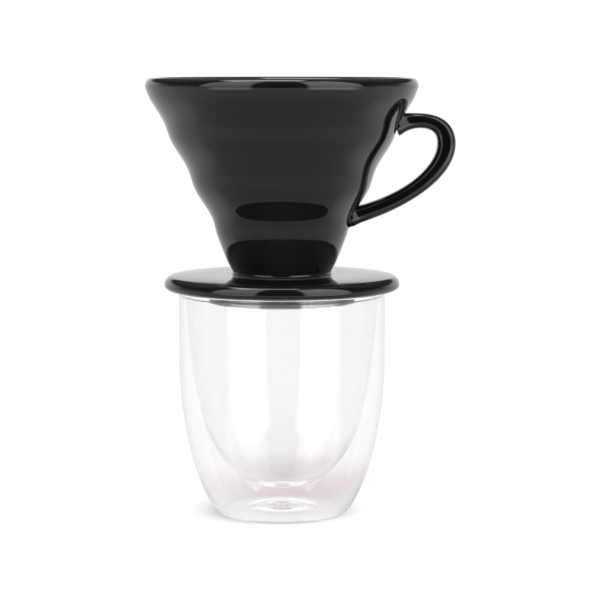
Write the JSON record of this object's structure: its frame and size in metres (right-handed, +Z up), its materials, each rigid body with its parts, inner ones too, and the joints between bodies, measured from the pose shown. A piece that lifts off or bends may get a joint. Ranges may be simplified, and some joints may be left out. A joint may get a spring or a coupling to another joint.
{
  "type": "pour-over coffee maker",
  "caption": "Glazed ceramic pour-over cone dripper with a loop handle and a saucer-shaped base plate, standing on a clear double-walled tumbler glass.",
  "frame": {"origin": "centre of the glass's standing ring, on the table", "axes": "+Z up along the axis of the glass and the cone, +X towards the handle"},
  "size_m": [0.1367, 0.1202, 0.1938],
  "materials": {
    "glaze": "glossy black glaze",
    "clear_glass": "clear polished",
    "silicone": "satin translucent"
  },
  "bodies": {
    "glass": {"outer_glass_wall": "clear_glass", "inner_glass_wall": "clear_glass", "vent_plug": "silicone"},
    "dripper": {"dripper_cone": "glaze", "dripper_handle": "glaze", "base_plate": "glaze"}
  },
  "joints": [
    {"name": "dripper_lift", "type": "slide", "parent": "glass", "child": "dripper", "axis": [0, 0, 1], "range_m": [0, 0.06]}
  ]
}
